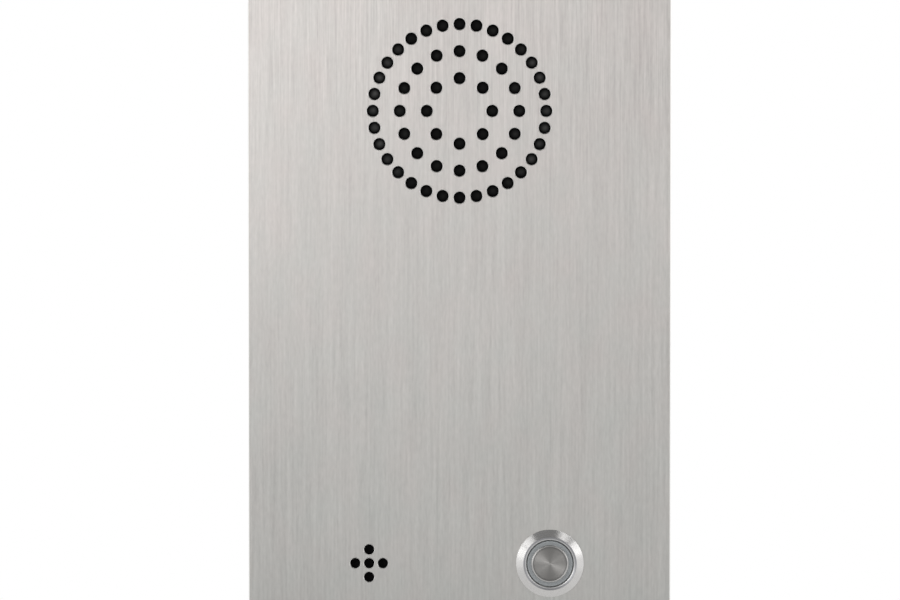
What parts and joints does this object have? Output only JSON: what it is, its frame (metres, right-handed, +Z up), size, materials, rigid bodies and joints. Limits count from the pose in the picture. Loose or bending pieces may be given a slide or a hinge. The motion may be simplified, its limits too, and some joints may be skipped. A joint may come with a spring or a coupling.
{
  "type": "network intercom panel",
  "caption": "Flush stainless network intercom panel with a round speaker grille, microphone holes and a ring-lit metal call button.",
  "frame": {"origin": "middle of the four fixing holes, on the back plane of the front panel", "axes": "+X to the viewer's right, +Y back towards the wall, +Z up"},
  "size_m": [0.14, 0.0487, 0.26],
  "materials": {
    "brushed_panel": "satin",
    "foam": "matte",
    "zinc_sheet": "satin",
    "plated_fasteners": "satin",
    "acoustic_cloth": "matte",
    "soft_rubber": "matte",
    "treated_cloth": "matte",
    "speaker_paper": "matte",
    "copper": "satin",
    "ferrite": "matte",
    "tag_metal": "satin",
    "mic_shell": "satin",
    "button_steel": "satin",
    "turned_cap": "satin",
    "light_ring": "satin",
    "dark_plastic": "matte",
    "spring_steel": "satin",
    "circuit_board": "satin",
    "jack_shield": "satin",
    "green_plastic": "satin",
    "coil_tape": "satin",
    "capacitor_can": "satin",
    "pale_plastic": "satin",
    "lead_sheath": "satin"
  },
  "bodies": {
    "base": {"front_panel": "brushed_panel", "housing_gasket": "foam", "wall_gasket": "foam", "speaker_gasket": "foam", "rear_housing": "zinc_sheet", "mic_bracket": "zinc_sheet", "speaker_frame": "zinc_sheet", "speaker_top_plate": "zinc_sheet", "speaker_yoke": "zinc_sheet", "housing_studs": "plated_fasteners", "housing_standoffs": "plated_fasteners", "housing_screws": "plated_fasteners", "earth_screw": "plated_fasteners", "panel_studs": "plated_fasteners", "mic_studs": "plated_fasteners", "stud_nuts": "plated_fasteners", "board_standoffs": "plated_fasteners", "board_screws": "plated_fasteners", "terminal_screws": "plated_fasteners", "acoustic_membranes": "acoustic_cloth", "speaker_surround": "soft_rubber", "mic_boot": "soft_rubber", "button_seal": "soft_rubber", "speaker_spider": "treated_cloth", "speaker_magnet": "ferrite", "speaker_terminals": "tag_metal", "button_terminals": "tag_metal", "network_jack_contacts": "tag_metal", "mic_capsule": "mic_shell", "button_body": "button_steel", "button_locknut": "button_steel", "button_base": "dark_plastic", "button_connector": "dark_plastic", "network_transformer": "dark_plastic", "processor": "dark_plastic", "memory_chips": "dark_plastic", "audio_amplifier": "dark_plastic", "power_inductors": "dark_plastic", "reset_switch": "dark_plastic", "button_spring": "spring_steel", "main_board": "circuit_board", "button_led_board": "circuit_board", "network_jack": "jack_shield", "terminal_header": "green_plastic", "terminal_plug": "green_plastic", "power_transformer": "coil_tape", "capacitors": "capacitor_can", "lead_headers": "pale_plastic", "lead_plugs": "pale_plastic", "speaker_lead": "lead_sheath", "mic_lead": "lead_sheath", "button_lead": "lead_sheath"},
    "button": {"button_light_ring": "light_ring", "button_cap": "turned_cap", "button_plunger": "dark_plastic", "button_contact_bridge": "tag_metal"},
    "speaker_moving": {"speaker_cone": "speaker_paper", "speaker_dust_cap": "speaker_paper", "speaker_voice_coil": "copper"},
    "reset": {"reset_key": "pale_plastic"}
  },
  "joints": [
    {"name": "button_press", "type": "slide", "parent": "base", "child": "button", "axis": [0, 1, 0], "range_m": [0, 0.0025], "stiffness_N_per_m": 800, "springref_m": -0.002, "deforming": ["button_spring"]},
    {"name": "cone_stroke", "type": "slide", "parent": "base", "child": "speaker_moving", "axis": [0, 1, 0], "range_m": [-0.001, 0.001], "stiffness_N_per_m": 2000, "deforming": ["speaker_surround", "speaker_spider"]},
    {"name": "reset_press", "type": "slide", "parent": "base", "child": "reset", "axis": [0, -1, 0], "range_m": [0, 0.00025], "stiffness_N_per_m": 6000, "springref_m": -0.0001}
  ]
}
